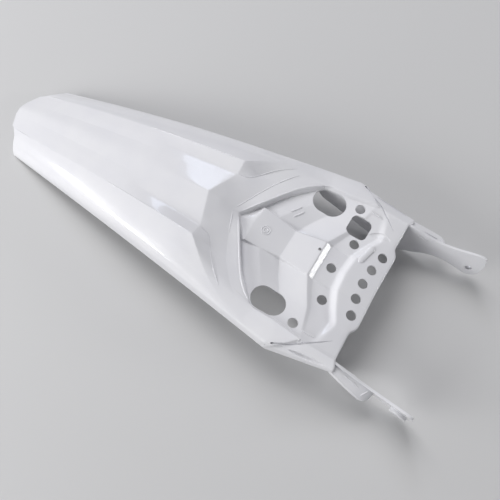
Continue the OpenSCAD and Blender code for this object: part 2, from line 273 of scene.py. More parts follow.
# rows of the front: place and height on the centre line, height beside the
# box, forward run for each millimetre outward, and how tightly it is rounded
frontRows = [
    (step["footX"] / 2, step["footZ"] * 0.48, step["footZ"] * 0.56, step["footRun"], 3.0),
    (step["footX"], step["footZ"], step["footZ"] - 0.8, step["footRun"], 0.7),
    (panel["rimX"], panel["rimZ"], panel["rimZ"] + 2.4, panel["sweep"], 1.3),
    (panel["rimX"] + 3, panel["rimZ"] + 1 - panel["rimWall"],
     panel["rimZ"] - 3.0 - panel["rimWall"], panel["sweep"], 1.2),
    (box["rear"], box["rearZ"], box["rearZ"] - 4.2, 0.7, 1.6),
    (box["fluteX"], mix(box["rearZ"], box["midZ"], 0.45), box["fluteZ"] + 0.6, 0.74, 0.8),
    (box["mid"], box["midZ"], box["valleyZ"], 0.66, 0.9),
    (box["front"], box["frontZ"], box["frontZ"] - 1.5, 0.56, 1.2),
    (box["foot"], box["floorZ"], box["floorZ"], 0.46, 0.9),
    (panel["beadX"], box["floorZ"] + 1.5, box["floorZ"] + 1.5, 0.2, 2.5),
    (panel["beadX"] + 6, panel["bandZ"], panel["bandZ"], 0.2, 2.0),
    (holes["frontRow"], panel["bandZ"], panel["bandZ"], 0.1, 4.0),
    (frontX, panel["bandZ"] - 1, panel["bandZ"] - 1, 0.0, 2.2),
]
slopeRow, footRow, rimRow, wellRow, boxRow = range(5)
railRow, lastRow = 8, len(frontRows) - 1

# where the rows stand in the columns, and where they end at the front and outside
frontColumns = {
    "slopeX": [17, 22, 22.5, step["setBack"] + 15, step["setBack"] + 24, 62, 74, 88, 104, 115],
    "halfWidths": [0, 24, 26, 41, 58, 86],
    "frontY": [0, 24, 26, 50, 58, 88, 90, 96, 96, 96],
    "stripY": 41, "stripFrontY": 50,
    "frontLine": [(0, frontX), (50, frontX + 1), (58, frontX - 5), (75, frontX - 8),
                  (88, frontX - 4.5), (96, frontX - 4)],
    "outRear": [100, 114, 123], "outMiddle": [168, 157, side["cornerX"]],
    "outFront": [171, 160, side["cornerX"] + 3],
    "railShares": [0.25, 0.7, 1, 1],
    "rimOut": panel["rimX"] + panel["sweep"] * 90 + 16.5,
}


def frontLine(y):
    return lookup(y, frontColumns["frontLine"])


def outX(r, k):
    m = k - rounding
    if r < railRow:
        return mix(frontColumns["outRear"][m], frontColumns["outMiddle"][m], (r - rimRow) / 5)
    return mix(frontColumns["outFront"][m], frontX - 1, (r - railRow) / (lastRow - railRow))


def bendX(r):
    rimOut = frontColumns["rimOut"]
    if r <= rimRow:
        return mix(frontColumns["slopeX"][bend], rimOut, r / rimRow)
    return max(rowX(r, rimFoot) + 1, rimOut + 2.5 * (r - rimRow))


def rowX(r, k):
    place, run = frontRows[r][0], frontRows[r][3]
    if r == slopeRow:
        return frontColumns["slopeX"][k]
    if r == lastRow:
        return frontLine(frontColumns["frontY"][k]) + (3 if k > bend else 0)
    if k > bend:
        if r == footRow:
            return mix(rowX(slopeRow, k), outX(rimRow, k), 0.5)
        return outX(r, k)
    if k == bend:
        return bendX(r)
    y = frontColumns["halfWidths"][k]
    outward = y / panel["rimHalf"]
    if r == footRow:
        return place + run * y + step["footCurl"] * outward ** 4
    if r < boxRow:
        return place + run * y + panel["rimCurl"] * outward ** 8
    x = place + run * max(0, y - frontColumns["halfWidths"][boxEdge]) * (0.8 if k == rimFoot else 1)
    if r > railRow and k < rimFoot:
        x += holes["rowBow"] * y * y
    # rows keep clear of the front line and of the rim
    return max(min(x, frontLine(y) - 4 * (lastRow - r)), rowX(wellRow, k) + 3 * (r - wellRow))


def frontY(r, k, x):
    if k == strip:
        return {slopeRow: step["stripY"], lastRow: frontColumns["stripFrontY"]}.get(
            r, frontColumns["stripY"])
    return step["creaseY"] if k == crease and r == slopeRow else columnY(x, k)


def frontPoint(r, k):
    x = rowX(r, k)
    y = frontY(r, k, x)
    if k > rimFoot:
        # the shoulder steps down beside the rails
        fade = 1 - 0.6 * (r - railRow) / (lastRow - railRow)
        share = frontColumns["railShares"][k - bend] * fade
        return (x, y, tailZ(x, k) - (side["railStep"] * share if r >= railRow else 0))
    if r == slopeRow and k in (strip, crease):
        return (x, y, step["stripZ"] if k == strip else step["creaseZ"])
    centreZ, besideZ = frontRows[r][1:3]
    if k == middle:
        return (x, y, centreZ)
    if k == boxEdge and r > wellRow:
        return (x, y, centreZ)
    inside = 0 if r <= rimRow else panel["rimWall"] * (1 - 0.6 * ease((x - 100) / 90))
    outward = (y / outerY(x)) ** (1.2 if r <= rimRow else 2)
    return (x, y, mix(besideZ, sideZ(x) - inside, outward))


def roundedLine(points, setBacks, cuts):
    # straight runs cut evenly, joined by a curve that starts setBack before each corner
    points = np.asarray(points, float)
    count = len(points)
    starts, stops, out = [points[0]], [], []
    for i in range(1, count - 1):
        toA, toB = points[i - 1] - points[i], points[i + 1] - points[i]
        lengthA, lengthB = max(np.linalg.norm(toA), 1e-6), max(np.linalg.norm(toB), 1e-6)
        back = min(setBacks[i], 0.45 * lengthA, 0.45 * lengthB)
        stops.append(points[i] + toA * (back / lengthA))
        starts.append(points[i] + toB * (back / lengthB))
    stops.append(points[-1])
    for i in range(count - 1):
        out += [mix(starts[i], stops[i], j / cuts[i]) for j in range(cuts[i])]
        if i < count - 2:
            for j in range(arcCuts):
                t = j / arcCuts
                out.append(stops[i] * (1 - t) ** 2 + points[i + 1] * 2 * t * (1 - t)
                           + starts[i + 1] * t * t)
    out.append(points[-1])
    return out


# how the shell is cut up, and how far from each line its rounding starts
shellGrid = {
    "tailRows": 44,
    "cuts": [4, 1, 4, 5, 8, 1, 4, 4, 4],
    "tailBacks": [9, 0.3, 0.3, 2.6, 1.2, 0.5, 9, 8, 4],
    "frontBacks": [0.8, 0.8, 0.8, 6, 4, 0.9, 1.6, 6, 3],
    "bulge": 1.6,
    "stepBack": 1.3,
    "softColumns": 16,
    "rowCuts": [5, 6, 3, 2, 5, 6, 8, 9, 3, 6, 3, 6, 7, 3],
    "lipShares": [1, 1, 1, 1, 1, 1, 1, 0.7, 0.55, 0.08],
    "leastSlant": 0.55,
}
arcCuts = 4


def shellRow(points, front, crisp=1):
    # one row of ten key points, mirrored, rounded and crowned between its creases;
    # crisp sharpens the centre line
    backs = [mix(a, b, front) for a, b in zip(shellGrid["tailBacks"], shellGrid["frontBacks"])]
    backs[0] = mix(shellGrid["tailBacks"][0], shellGrid["frontBacks"][0], crisp)
    mirrored = [(x, -y, z) for x, y, z in points[:0:-1]] + list(points)
    allBacks = [0] + backs[:0:-1] + backs + [0]
    cuts = shellGrid["cuts"][::-1] + shellGrid["cuts"]
    row = roundedLine(mirrored, allBacks, cuts)
    inner, outer = points[crease][1], points[bend][1]
    for p in row:
        u = (abs(p[1]) - inner) / (outer - inner)
        if 0 < u < 1:
            p[2] += shellGrid["bulge"] * 4 * u * (1 - u) * (1 - front)
    return row


def shellSkin():
    rows = shellGrid["tailRows"]
    tailRows = [shellRow([tailPoint(i / rows, k) for k in columns], 0, ease(4 * i / rows - 3))
                for i in range(rows + 1)]
    keys = [shellRow([frontPoint(r, k) for k in columns], min(1, (r + 1) / 3))
            for r in range(lastRow + 1)]
    lip = [(x + 0.8, y, z - panel["lip"] * share) for (x, y, z), share in
           zip([frontPoint(lastRow, k) for k in columns], shellGrid["lipShares"])]
    keys.append(shellRow(lip, 1))
    grid = [tailRows[-2], tailRows[-1]] + keys
    backs = [0, shellGrid["stepBack"]] + [r[4] for r in frontRows] + [0]
    cuts = [1] + shellGrid["rowCuts"]
    centre = len(grid[0]) // 2
    lines = []
    for j in range(len(grid[0])):
        # the notch line is soft on the centre line and crisp from the strip outward
        outward = ease((abs(j - centre) - shellGrid["softColumns"]) / 6)
        softened = backs[:2] + [mix(backs[2], 0.9, outward)] + backs[3:]
        lines.append(roundedLine([row[j] for row in grid], softened, cuts))
    front = [[line[i] for line in lines] for i in range(len(lines[0]))]
    return np.array(tailRows[:-2] + front)


def gridNormals(grid):
    alongRows = np.gradient(grid, axis=0)
    across = np.gradient(grid, axis=1)
    n = np.cross(alongRows, across)
    return n / np.maximum(np.linalg.norm(n, axis=2, keepdims=True), 1e-9)


def shellBack(skin):
    # straight down under the top, square to the skin behind the skirts
    n = gridNormals(skin)
    total, width = skin.shape[:2]
    offset = np.zeros_like(skin)
    perHalf = (width - 1) // 2
    skirtAt = sum(shellGrid["cuts"][bend:]) + arcCuts * 3
    for j in range(width):
        m = min(j, width - 1 - j)
        inwardSide = 1 if j < perHalf else -1
        share = ease(1.15 * (1 - m / skirtAt)) if m < skirtAt else 0
        for i in range(total):
            d = mix(np.array([0, 0, -1]), -n[i, j], share) if m else np.array([0, inwardSide, 0])
            d = d / np.linalg.norm(d)
            offset[i, j] = d * wall / max(shellGrid["leastSlant"], abs(n[i, j] @ d))
    # the folded front lip goes back instead of down
    foldStart = total - shellGrid["rowCuts"][-1] - 1 - arcCuts
    for j in range(width):
        m = min(j, width - 1 - j)
        inwardSide = 1 if j < perHalf else -1
        sideShare = ease(1.3 * (1 - m / skirtAt)) if m < skirtAt else 0
        low = 0 if m < shellGrid["cuts"][limb] else 1
        for i in range(foldStart + 1, total):
            t = clamp((i - foldStart) / arcCuts)
            backShare, downShare = min(1, 2 * t), min(1, 2 - 2 * t)
            offset[i, j] = np.array([-backShare, sideShare * inwardSide, -downShare * low]) * wall
    return skin + offset


def sheetMesh(name, face, back):
    # a closed sheet between two grids of points, faces outward
    rows, cols = face.shape[:2]
    count = rows * cols
    points = np.concatenate([face.reshape(-1, 3), back.reshape(-1, 3)])
    faces = []
    for i in range(rows - 1):
        for j in range(cols - 1):
            a = i * cols + j
            faces.append((a, a + cols, a + cols + 1, a + 1))
            faces.append((a + count + 1, a + count + cols + 1, a + count + cols, a + count))
    for i in range(rows - 1):
        a = i * cols
        faces.append((a, a + count, a + count + cols, a + cols))
        a += cols - 1
        faces.append((a + cols, a + count + cols, a + count, a))
    for j in range(cols - 1):
        faces.append((j + 1, j + count + 1, j + count, j))
        a = (rows - 1) * cols + j
        faces.append((a, a + count, a + count + 1, a + 1))
    return meshPiece(name, points, faces)


def deckMatrix():
    # the tilt comes from the bolt holes, the place from the box of the solid, in metres
    mount = next(m for m in frame["record"]["mounts"] if m["name"] == "front_row_3")
    pitch = math.atan2(mount["axis"][0], mount["axis"][2])
    turn = Matrix.Rotation(pitch, 4, "Y")
    tip = turn @ Vector((arm["tip"], 0, arm["lugZ"] + 8)) / 1000
    foot = turn @ Vector((frontX + 1, 0, arm["foot"])) / 1000
    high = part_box("rear_fender")[1]  # the arms reach its front, the walls stand on its floor
    return Matrix.Translation((high.x - tip.x, 0, -foot.z)) @ turn @ Matrix.Scale(0.001, 4)


toPart = deckMatrix()


def meshPiece(name, points, faces):
    mesh = bpy.data.meshes.new(name)
    mesh.from_pydata([tuple(p) for p in points], [], faces)
    mesh.update()
    piece = bpy.data.objects.new(name, mesh)
    bpy.context.scene.collection.objects.link(piece)
    return piece


def cutterBar(name, outline, low, high):
    # an upright bar over a closed outline that runs anticlockwise seen from above
    count = len(outline)
    points = [(x, y, low) for x, y in outline] + [(x, y, high) for x, y in outline]
    faces = [tuple(range(count - 1, -1, -1)), tuple(range(count, 2 * count))]
    faces += [(i, (i + 1) % count, count + (i + 1) % count, count + i) for i in range(count)]
    return meshPiece(name, points, faces)


def ring(cx, cy, radius, count=48):
    return [(cx + radius * math.cos(2 * math.pi * i / count),
             cy + radius * math.sin(2 * math.pi * i / count)) for i in range(count)]


def roundedOutline(cx, cy, halfX, halfY, radius, count=12):
    points = []
    for q, (sx, sy) in enumerate([(1, 1), (-1, 1), (-1, -1), (1, -1)]):
        for i in range(count + 1):
            a = math.pi / 2 * (q + i / count)
            points.append((cx + sx * (halfX - radius) + radius * math.cos(a),
                           cy + sy * (halfY - radius) + radius * math.sin(a)))
    return points


def openingCutters():
    radius, half = holes["bolt"] / 2, holes["square"] / 2
    spots = []
    for i in range(-2, 3):
        y = i * holes["frontPitch"]
        spots.append((holes["frontRow"] + holes["rowBow"] * y * y, y))
    for i in (-1, 0, 1):
        spots.append((holes["rearRow"] + holes["rearFan"] * abs(i), i * holes["rearPitch"]))
    outlines = [(ring(x, y, radius), holes["cutDepth"]) for x, y in spots]
    for s in (-1, 1):
        outlines.append((ring(holes["sideX"], s * holes["sideY"], radius), holes["cutDepth"]))
        oval = roundedOutline(holes["ovalX"], s * holes["ovalY"], holes["ovalLong"] / 2,
                              holes["ovalWide"] / 2, holes["ovalWide"] / 2 - 0.1, 20)
        outlines.append((oval, holes["ovalDepth"]))
    bars = [cutterBar("cutter", outline, -depth, depth) for outline, depth in outlines]
    pin = ring(holes["pinX"], holes["pinY"], holes["pin"] / 2, 24)
    bars.append(cutterBar("cutter", pin, holes["pinLow"], holes["pinHigh"]))
    square = roundedOutline(holes["squareX"], holes["squareY"], half, half, half / 2)
    bars.append(cutterBar("cutter", square, -holes["cutDepth"], holes["cutDepth"]))
    return joined("openings", bars)


def joined(name, pieces):
    mesh = bmesh.new()
    for piece in pieces:
        mesh.from_mesh(piece.data)
    out = bpy.data.meshes.new(name)
    mesh.to_mesh(out)
    mesh.free()
    for piece in pieces:
        bpy.data.meshes.remove(piece.data)
    result = bpy.data.objects.new(name, out)
    bpy.context.scene.collection.objects.link(result)
    return result


def applied(piece):
    depsgraph = bpy.context.evaluated_depsgraph_get()
    mesh = bpy.data.meshes.new_from_object(piece.evaluated_get(depsgraph))
    piece.modifiers.clear()
    piece.data = mesh
    return piece


def cut(piece, cutter):
    change = piece.modifiers.new("cut", "BOOLEAN")
    change.operation = "DIFFERENCE"
    change.solver = "EXACT"
    change.object = cutter
    applied(piece)
    bpy.data.objects.remove(cutter)
    return piece


# the plastic: bright and glossy outside, satin inside; sizes in metres
plasticLook = {
    "colour": (0.80, 0.80, 0.82), "shade": (0.765, 0.765, 0.795), "waveSize": 0.045,
    "coatRoughness": 0.08, "rubScale": 7, "rubStretch": (1, 2.5, 2), "grainHeight": 0.0001,
}
outsideFinish = {"gloss": 0.27, "dull": 0.3, "coat": 0.6, "grainSize": 0.0011, "grainDepth": 0.06}
insideFinish = {"gloss": 0.46, "dull": 0.6, "coat": 0, "grainSize": 0.00077, "grainDepth": 0.5}


def mouldedGroup():
    # slow change of tone and gloss over a moulding, and the fine skin of its surface
    group = bpy.data.node_groups.new("mouldedSurface", "ShaderNodeTree")
    for name, value in (("Wave Size", 0.045), ("Grain Size", 0.001), ("Grain Depth", 0.1)):
        socket = group.interface.new_socket(name, in_out="INPUT", socket_type="NodeSocketFloat")
        socket.default_value = value
    for name, kind in (("Tone", "Float"), ("Wear", "Float"), ("Normal", "Vector")):
        group.interface.new_socket(name, in_out="OUTPUT", socket_type="NodeSocket" + kind)
    nodes, links = group.nodes, group.links
    given, put = nodes.new("NodeGroupInput"), nodes.new("NodeGroupOutput")
    place = nodes.new("ShaderNodeTexCoord")
    noises = []
    for socket, detail, rough in (("Wave Size", 3, 0.55), ("Grain Size", 2, 0.5)):
        over = nodes.new("ShaderNodeMath")
        over.operation = "DIVIDE"
        over.inputs[0].default_value = 1
        noise = nodes.new("ShaderNodeTexNoise")
        noise.inputs["Detail"].default_value = detail
        noise.inputs["Roughness"].default_value = rough
        links.new(given.outputs[socket], over.inputs[1])
        links.new(over.outputs[0], noise.inputs["Scale"])
        links.new(place.outputs["Object"], noise.inputs["Vector"])
        noises.append(noise)
    tone = nodes.new("ShaderNodeMapRange")
    tone.inputs["From Min"].default_value = 0.3
    tone.inputs["From Max"].default_value = 0.7
    # rubbed places: stretched noise, only its peaks
    stretch = nodes.new("ShaderNodeMapping")
    stretch.inputs["Scale"].default_value = plasticLook["rubStretch"]
    rub = nodes.new("ShaderNodeTexNoise")
    rub.inputs["Scale"].default_value = plasticLook["rubScale"]
    rub.inputs["Detail"].default_value = 2
    wear = nodes.new("ShaderNodeMapRange")
    wear.inputs["From Min"].default_value = 0.2
    wear.inputs["From Max"].default_value = 0.8
    bump = nodes.new("ShaderNodeBump")
    bump.inputs["Distance"].default_value = plasticLook["grainHeight"]
    links.new(noises[0].outputs["Fac"], tone.inputs["Value"])
    links.new(place.outputs["Object"], stretch.inputs["Vector"])
    links.new(stretch.outputs["Vector"], rub.inputs["Vector"])
    links.new(rub.outputs["Fac"], wear.inputs["Value"])
    links.new(given.outputs["Grain Depth"], bump.inputs["Strength"])
    links.new(noises[1].outputs["Fac"], bump.inputs["Height"])
    links.new(tone.outputs["Result"], put.inputs["Tone"])
    links.new(wear.outputs["Result"], put.inputs["Wear"])
    links.new(bump.outputs["Normal"], put.inputs["Normal"])
    return group


mouldedSurface = mouldedGroup()


def plastic(name, gloss, dull, coat, grainSize, grainDepth):
    material = bpy.data.materials.new(name)
    material.use_nodes = True
    nodes, links = material.node_tree.nodes, material.node_tree.links
    shader = nodes["Principled BSDF"]
    surface = nodes.new("ShaderNodeGroup")
    surface.node_tree = mouldedSurface
    surface.inputs["Wave Size"].default_value = plasticLook["waveSize"]
    surface.inputs["Grain Size"].default_value = grainSize
    surface.inputs["Grain Depth"].default_value = grainDepth
    colour = nodes.new("ShaderNodeMix")
    colour.data_type = "RGBA"
    colour.inputs[6].default_value = (*plasticLook["colour"], 1)
    colour.inputs[7].default_value = (*plasticLook["shade"], 1)
    links.new(surface.outputs["Tone"], colour.inputs[0])
    links.new(colour.outputs[2], shader.inputs["Base Color"])
    rough = nodes.new("ShaderNodeMapRange")
    rough.inputs["To Min"].default_value = gloss
    rough.inputs["To Max"].default_value = dull
    links.new(surface.outputs["Wear"], rough.inputs["Value"])
    links.new(rough.outputs["Result"], shader.inputs["Roughness"])
    links.new(surface.outputs["Normal"], shader.inputs["Normal"])
    shader.inputs["Coat Weight"].default_value = coat
    shader.inputs["Coat Roughness"].default_value = plasticLook["coatRoughness"]
    return material


whitePlastic = plastic("whitePlastic", **outsideFinish)
insidePlastic = plastic("insidePlastic", **insideFinish)
print("plastic mixed")


def mathNode(nodes, operation, value=None):
    node = nodes.new("ShaderNodeMath")
    node.operation = operation
    if value is not None:
        node.inputs[1].default_value = value
    return node


# geometry nodes: a rounded bead along any path laid on the skin
def beadTree():
    tree = bpy.data.node_groups.new("beadAlongPath", "GeometryNodeTree")
    tree.interface.new_socket("Geometry", in_out="INPUT", socket_type="NodeSocketGeometry")
    sockets = {}
    for name, value in (("Width", 2.0), ("Height", 0.6), ("End Taper", 6.0)):
        socket = tree.interface.new_socket(name, in_out="INPUT", socket_type="NodeSocketFloat")
        socket.default_value = value
        sockets[name] = socket.identifier
    socket = tree.interface.new_socket("Material", in_out="INPUT", socket_type="NodeSocketMaterial")
    sockets["Material"] = socket.identifier
    tree.interface.new_socket("Geometry", in_out="OUTPUT", socket_type="NodeSocketGeometry")
    nodes, links = tree.nodes, tree.links
    given, put = nodes.new("NodeGroupInput"), nodes.new("NodeGroupOutput")
    curve = nodes.new("GeometryNodeMeshToCurve")
    normal = nodes.new("GeometryNodeSetCurveNormal")
    normal.mode = "Z_UP"
    profile = nodes.new("GeometryNodeCurvePrimitiveCircle")
    profile.inputs["Resolution"].default_value = 14
    profile.inputs["Radius"].default_value = 1
    flat = nodes.new("GeometryNodeTransform")
    size = nodes.new("ShaderNodeCombineXYZ")
    half = mathNode(nodes, "MULTIPLY", 0.5)
    sweep = nodes.new("GeometryNodeCurveToMesh")
    sweep.inputs["Fill Caps"].default_value = True
    # the bead thins to nothing over the taper at both ends
    where = nodes.new("GeometryNodeSplineParameter")
    total = nodes.new("GeometryNodeSplineLength")
    left, near = mathNode(nodes, "SUBTRACT"), mathNode(nodes, "MINIMUM")
    share, root = mathNode(nodes, "DIVIDE"), mathNode(nodes, "POWER", 0.5)
    share.use_clamp = True
    least = mathNode(nodes, "MAXIMUM", 0.04)
    real = nodes.new("GeometryNodeRealizeInstances")
    material = nodes.new("GeometryNodeSetMaterial")
    links.new(given.outputs["Geometry"], curve.inputs["Mesh"])
    links.new(curve.outputs["Curve"], normal.inputs["Curve"])
    links.new(given.outputs["Width"], half.inputs[0])
    links.new(half.outputs[0], size.inputs["X"])
    links.new(given.outputs["Height"], size.inputs["Y"])
    size.inputs["Z"].default_value = 1
    links.new(profile.outputs["Curve"], flat.inputs["Geometry"])
    links.new(size.outputs["Vector"], flat.inputs["Scale"])
    links.new(normal.outputs["Curve"], sweep.inputs["Curve"])
    links.new(flat.outputs["Geometry"], sweep.inputs["Profile Curve"])
    links.new(total.outputs["Length"], left.inputs[0])
    links.new(where.outputs["Length"], left.inputs[1])
    links.new(where.outputs["Length"], near.inputs[0])
    links.new(left.outputs[0], near.inputs[1])
    links.new(near.outputs[0], share.inputs[0])
    links.new(given.outputs["End Taper"], share.inputs[1])
    links.new(share.outputs[0], root.inputs[0])
    links.new(root.outputs[0], least.inputs[0])
    links.new(least.outputs[0], sweep.inputs["Scale"])
    links.new(sweep.outputs["Mesh"], real.inputs["Geometry"])
    links.new(real.outputs["Geometry"], material.inputs["Geometry"])
    links.new(given.outputs["Material"], material.inputs["Material"])
    links.new(material.outputs["Geometry"], put.inputs["Geometry"])
    return tree, sockets


beadNodes, beadSockets = beadTree()


def smoothPath(points, spacing=1.6):
    # a smooth line through the given places, cut about every spacing
    points = [np.array(p, float) for p in points]
    ends = [2 * points[0] - points[1]] + points + [2 * points[-1] - points[-2]]
    out = []
    for a, b, c, d in zip(ends, ends[1:], ends[2:], ends[3:]):
        count = max(2, int(np.linalg.norm(c - b) / spacing))
        for i in range(count):
            t = i / count
            out.append(0.5 * (2 * b + (c - a) * t + (2 * a - 5 * b + 4 * c - d) * t * t
                              + (3 * b - a - 3 * c + d) * t ** 3))
    return out + [points[-1]]


def beads(name, paths, width, height, taper):
    points, edges = [], []
    for path in paths:
        start = len(points)
        points += [tuple(p) for p in path]
        edges += [(i, i + 1) for i in range(start, len(points) - 1)]
    mesh = bpy.data.meshes.new(name)
    mesh.from_pydata(points, edges, [])
    piece = bpy.data.objects.new(name, mesh)
    bpy.context.scene.collection.objects.link(piece)
    change = piece.modifiers.new("bead", "NODES")
    change.node_group = beadNodes
    settings = {"Width": width, "Height": height, "End Taper": taper, "Material": whitePlastic}
    for socket, value in settings.items():
        change[beadSockets[socket]] = value
    return applied(piece)


def surfaceOf(piece):
    return BVHTree.FromPolygons([v.co.copy() for v in piece.data.vertices],
                                [tuple(p.vertices) for p in piece.data.polygons])


skin = shellSkin()
print("shell grid", skin.shape)
shell = sheetMesh("fenderShell", skin, shellBack(skin))
shell.data.materials.append(whitePlastic)
shell.data.materials.append(insidePlastic)
facePoints = skin.shape[0] * skin.shape[1]
for polygon in shell.data.polygons:
    # faces of the back grid are the inside of the moulding
    polygon.material_index = int(min(polygon.vertices) >= facePoints)
skinTree = surfaceOf(shell)


def onSkin(x, y, tree=skinTree):
    # the place on the surface under a point well above it
    return (x, y, tree.ray_cast(Vector((x, y, 120)), Vector((0, 0, -1)))[0].z)


def laid(path, tree=skinTree):
    return [onSkin(p[0], p[1], tree) for p in smoothPath(path)]


def bothSides(path):
    return [laid([(x, s * y) for x, y in path]) for s in (-1, 1)]


# raised lines and small marks on the skin: width, height and how far the ends thin out
trims = {
    "rim": {"width": 2.6, "height": 0.9, "taper": 14},
    "foot": {"width": 1.5, "height": 0.45, "taper": 10},
    "wellRib": {"width": 2.2, "height": 1.0, "taper": 2.5},
    "crease": {"width": 1.5, "height": 0.4, "taper": 12},
    "notch": {"width": 1.3, "height": 0.4, "taper": 8},
    "bar": {"width": 8, "height": 1.7, "taper": 4},
    "railBead": {"width": 2.2, "height": 1.0, "taper": 5},
    "mark": {"width": 1.1, "height": 0.55, "taper": 0.01},
    "armRib": {"width": 2.0, "height": 1.0, "taper": 3},
    "slit": {"width": 2.6, "height": 2.2, "taper": 34},
    "recess": {"width": 5.5, "height": 2.2, "taper": 16},
    "dimple": {"width": 9, "height": 1.3, "taper": 14},
}

# where they lie, seen from above
trimPaths = {
    "farRib": [(93.5, 36.7), (99, 44.5), (103.4, 51.1)],
    "nearRib": [(99.8, 33.4), (108.7, 46.8)],
    "rearCrease": [(x, creaseY(x)) for x in np.linspace(-300, -266, 6)],
    "frontCrease": [(x, creaseY(x)) for x in np.linspace(-120, 11, 14)],
    "notch": [(15, 41.5), (28, 44.5), (41, 59), (51, 70.6), (62, 81), (73, 90)],
    "bar": [(193, 20), (200, 47)],
    "railBead": [(174, 85), (193, 84)],
    "slitRear": [(139, 122, -17), (150, 116.5, -10)],
    "slit": [(157, 112.5), (168.3, 106.8), (190.4, 91.9), (211, 76)],
    "recess": [(174, 109.5), (190, 107.5), (216, 104)],
    "dimple": [(188, 60), (200, 64), (213, 63)],
}


def footLine(low, high, s):
    return laid([(step["footX"] + step["footRun"] * y
                  + step["footCurl"] * (y / panel["rimHalf"]) ** 4, s * y)
                 for y in np.linspace(low, high, 12)])


def rimLine(low, high, s, back=0.8):
    return laid([(panel["rimX"] - back + panel["sweep"] * y
                  + panel["rimCurl"] * (y / panel["rimHalf"]) ** 8, s * y)
                 for y in np.linspace(low, high, 18)])


def circlePath(cx, cy, radius, count=40):
    around = ring(cx, cy, radius, count)
    return [onSkin(x, y) for x, y in around + around[:1]]


def slitLine(s):
    rear = smoothPath([(x, s * y, z) for x, y, z in trimPaths["slitRear"]])
    return rear[:-1] + laid([(x, s * y) for x, y in trimPaths["slit"]])


creases = bothSides(trimPaths["rearCrease"]) + bothSides(trimPaths["frontCrease"])
wellRibs = [laid(trimPaths["farRib"]), laid(trimPaths["nearRib"])]
pegs = [circlePath(180.2, s * 96.1, 1.9, 20) for s in (-1, 1)]
gateRings = [circlePath(81.6, -0.5, radius) for radius in (5.4, 2.8)]
trimPieces = [
    beads("rimBead", [rimLine(4, 87, s) for s in (-1, 1)], **trims["rim"]),
    beads("footLine", [footLine(1, 30, -1), footLine(3, 84, 1)], **trims["foot"]),
    beads("wellRibs", wellRibs, **trims["wellRib"]),
    beads("creaseLines", creases, **trims["crease"]),
    beads("notchLines", bothSides(trimPaths["notch"]), **trims["notch"]),
    beads("frontBar", [laid(trimPaths["bar"])], **trims["bar"]),
    beads("railBeads", bothSides(trimPaths["railBead"]), **trims["railBead"]),
    beads("rimPegs", pegs, **trims["mark"]),
    beads("gateMark", gateRings, **trims["mark"]),
]
slits = beads("slits", [slitLine(s) for s in (-1, 1)], **trims["slit"])
recess = beads("recess", bothSides(trimPaths["recess"]), **trims["recess"])
dimple = beads("dimple", [laid(trimPaths["dimple"])], **trims["dimple"])
openings = openingCutters()
print("trims laid", sum(len(t.data.polygons) for t in trimPieces))
for cutter in (openings, recess, dimple, slits):
    cut(shell, cutter)
print("shell cut", len(shell.data.polygons))


# side wall and arm seen from the side: place, top and bottom
wallLine = [
    (104, -9.5, -29), (115, -8.4, -38), (149, -4, -43), (190, 1.4, -50), (219, 2.2, -50),
    (228, 2.2, -50), (243, 0, -43), (260, -2, -32), (273, -1, -27), (290, 3, -27),
    (301, 7, -29), (311, 9.5, -31), (318, 9.5, -29), (323, -2, -24), (324, -10, -18),
]
rootX = frontX - 8


def wallY(x, z):
    if x < rootX:
        rear = wallLine[0][0]
        across = mix(arm["wallGap"], arm["rootGap"], (x - rear) / (rootX - rear)) / 2
    else:
        across = arm["rootGap"] / 2 + (x - rootX) * math.tan(math.radians(arm["open"]))
    return across + z * math.tan(math.radians(arm["lean"]))


def sideWall(s):
    setBacks, cuts = [8] * len(wallLine), [3] * (len(wallLine) - 1)
    tops = roundedLine([(x, 0, top) for x, top, low in wallLine], setBacks, cuts)
    lows = roundedLine([(x, 0, low) for x, top, low in wallLine], setBacks, cuts)
    outer, inner = [], []
    for a, b in zip(tops, lows):
        x = (a[0] + b[0]) / 2
        zs = [mix(a[2], b[2], t) for t in np.linspace(0, 1, 9)]
        if s < 0:
            zs = zs[::-1]
        outer.append([(x, s * (wallY(x, z) + arm["thick"]), z) for z in zs])
        inner.append([(x, s * wallY(x, z), z) for z in zs])
    return sheetMesh("wall", np.array(outer), np.array(inner))


def flange(s):
    y, wide, end = arm["rootGap"] / 2 + 1, arm["flangeWide"], rootX + arm["flangeLength"]
    # place, inner edge and its height, outer edge and its height, and the shares of
    # the thickness that go back and down
    line = [(frontX - 3.6, y, 1.5, side["railWidth"] / 2 - 0.5, -3, 0, 1),
            (rootX + 20, y, -2, y + wide - 1, -6, 0, 1),
            (rootX + 34, y + 1.5, -2.7, y + wide + 1, -9, 0.2, 0.95),
            (end - 12, y + 2.4, -3.1, y + wide + 2.5, -11.5, 0.4, 0.9),
            (end - 7, y + 2.7, -3.6, y + wide + 1.5, -13, 0.55, 0.8),
            (end - 3, y + 2.9, -4.8, y + wide - 1, -14.5, 0.7, 0.65),
            (end - 0.8, y + 3, -6.6, y + wide - 5, -16, 0.9, 0.4),
            (end, y + 3.2, -9, y + wide - 9, -17, 1, 0.2)]
    thick, drop = arm["flangeThick"], arm["flangeDrop"]
    top, low = [], []
    for x, ya, za, yb, zb, backShare, downShare in line:
        back, down = backShare * thick, downShare * thick
        a = [(x, s * ya, za), (x, s * yb, zb), (x, s * (yb + 0.5), zb - drop)]
        b = [(x - back, s * ya, za - down), (x - back, s * (yb - thick), zb - down),
             (x - back, s * (yb + 0.5 - thick), zb - drop)]
        if s < 0:
            a, b = a[::-1], b[::-1]
        top.append(a)
        low.append(b)
    return sheetMesh("flange", np.array(top, float), np.array(low, float))


